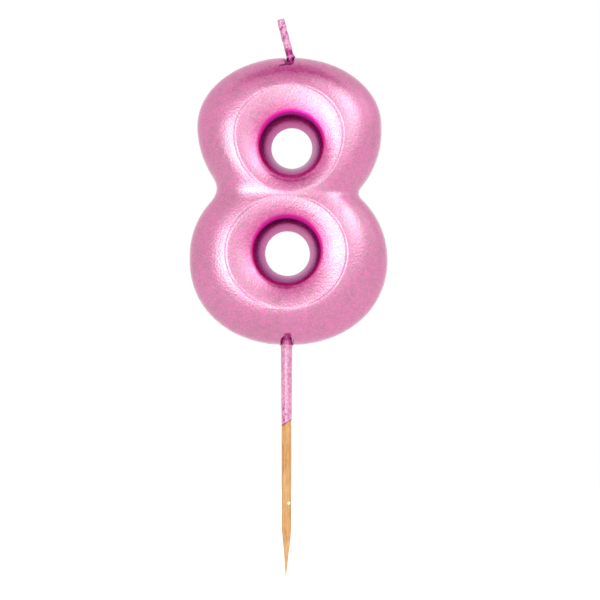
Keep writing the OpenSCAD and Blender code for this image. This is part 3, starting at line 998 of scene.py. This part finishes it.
FLOOR_GAP = 1.5
FLOOR_Z = float(PICK_LOW[2]) - FLOOR_GAP
FLOOR_HALF = 400.0
floor = make_object(
    "floor",
    [(-FLOOR_HALF, -FLOOR_HALF, FLOOR_Z), (FLOOR_HALF, -FLOOR_HALF, FLOOR_Z),
     (FLOOR_HALF, FLOOR_HALF, FLOOR_Z), (-FLOOR_HALF, FLOOR_HALF, FLOOR_Z)],
    [(0, 1, 2, 3)],
)
dress(floor, floor_material())


def direction(right_deg, up_deg):
    """Unit vector that many degrees to the right of and above the way out of the front face."""
    a, e = math.radians(right_deg), math.radians(up_deg)
    return (math.sin(a) * math.cos(e), -math.cos(a) * math.cos(e), math.sin(e))


# Soft light by direction: (direction, strength, spread). Glows add light to the room's even level,
# and shades take away that share of it.
ROOM_LEVEL = 1.22
GLOWS = (
    (direction(-12, 0), 6.0, 0.018),
    (direction(-21, 5), 4.0, 0.009),
    (direction(-12, -18), 4.4, 0.010),
    (direction(6, -16), 1.6, 0.012),
    (direction(17, 9), 1.6, 0.012),
    (direction(25, 22), 4.6, 0.022),
    (direction(62, 30), 0.6, 0.06),
)
SHADES = (
    (direction(-26, 50), 0.9, 0.018),
    (direction(0, 56), 0.95, 0.03),
    (direction(26, 52), 0.9, 0.018),
    (direction(0, 74), 0.7, 0.04),
    (direction(5, 28), 0.5, 0.02),
    (direction(-44, -30), 0.5, 0.02),
    (direction(44, -34), 0.3, 0.02),
    (direction(0, -42), 0.65, 0.12),
)


def build_room():
    """The studio as a world: soft lobes of light and dark for the dip, plain white behind it."""
    world = bpy.data.worlds.new("studio")
    bpy.context.scene.world = world
    world.use_nodes = True
    tree = world.node_tree
    tree.nodes.clear()
    link = tree.links.new
    place = tree.nodes.new("ShaderNodeTexCoord").outputs["Generated"]
    normal = tree.nodes.new("ShaderNodeVectorMath")
    normal.operation = "NORMALIZE"
    link(place, normal.inputs[0])

    def math_node(operation, a, b):
        node = tree.nodes.new("ShaderNodeMath")
        node.operation = operation
        for socket, value in zip(node.inputs, (a, b)):
            if isinstance(value, bpy.types.NodeSocket):
                link(value, socket)
            else:
                socket.default_value = value
        return node.outputs["Value"]

    def lobe(way, spread):
        dot = tree.nodes.new("ShaderNodeVectorMath")
        dot.operation = "DOT_PRODUCT"
        link(normal.outputs["Vector"], dot.inputs[0])
        dot.inputs[1].default_value = way
        fall_off = math_node("DIVIDE", math_node("SUBTRACT", dot.outputs["Value"], 1.0), spread)
        return math_node("POWER", math.e, fall_off)

    level = ROOM_LEVEL
    for way, strength, spread in SHADES:
        kept = math_node("SUBTRACT", 1.0, math_node("MULTIPLY", lobe(way, spread), strength))
        level = math_node("MULTIPLY", level, kept)
    for way, strength, spread in GLOWS:
        level = math_node("ADD", level, math_node("MULTIPLY", lobe(way, spread), strength))

    rays = tree.nodes.new("ShaderNodeLightPath")
    seen = tree.nodes.new("ShaderNodeBackground")
    seen.inputs["Color"].default_value = WHITE
    seen.inputs["Strength"].default_value = 1.0
    lit = tree.nodes.new("ShaderNodeBackground")
    lit.inputs["Color"].default_value = WHITE
    link(level, lit.inputs["Strength"])
    both = tree.nodes.new("ShaderNodeMixShader")
    link(rays.outputs["Is Camera Ray"], both.inputs["Fac"])
    link(lit.outputs["Background"], both.inputs[1])
    link(seen.outputs["Background"], both.inputs[2])
    output = tree.nodes.new("ShaderNodeOutputWorld")
    link(both.outputs["Shader"], output.inputs["Surface"])


build_room()

scene = bpy.context.scene
scene.view_settings.view_transform = "Standard"
scene.view_settings.look = "None"

VIEW_CENTRE = Vector((3.08, 0, 29.05)) * MM
VIEW_WIDTH = 137.5 * MM
CAMERA_DISTANCE = 450 * MM
SENSOR_WIDTH = 36
camera_data = bpy.data.cameras.new("camera")
camera_data.sensor_width = SENSOR_WIDTH
camera_data.lens = SENSOR_WIDTH * CAMERA_DISTANCE / VIEW_WIDTH
camera_data.clip_start = 0.01
camera_data.clip_end = 10
camera = bpy.data.objects.new("camera", camera_data)
scene.collection.objects.link(camera)
out = Vector(direction(2.0, -2.4))
camera.location = VIEW_CENTRE + out * CAMERA_DISTANCE
camera.rotation_mode = "QUATERNION"
camera.rotation_quaternion = (-out).to_track_quat("-Z", "Y")
scene.camera = camera
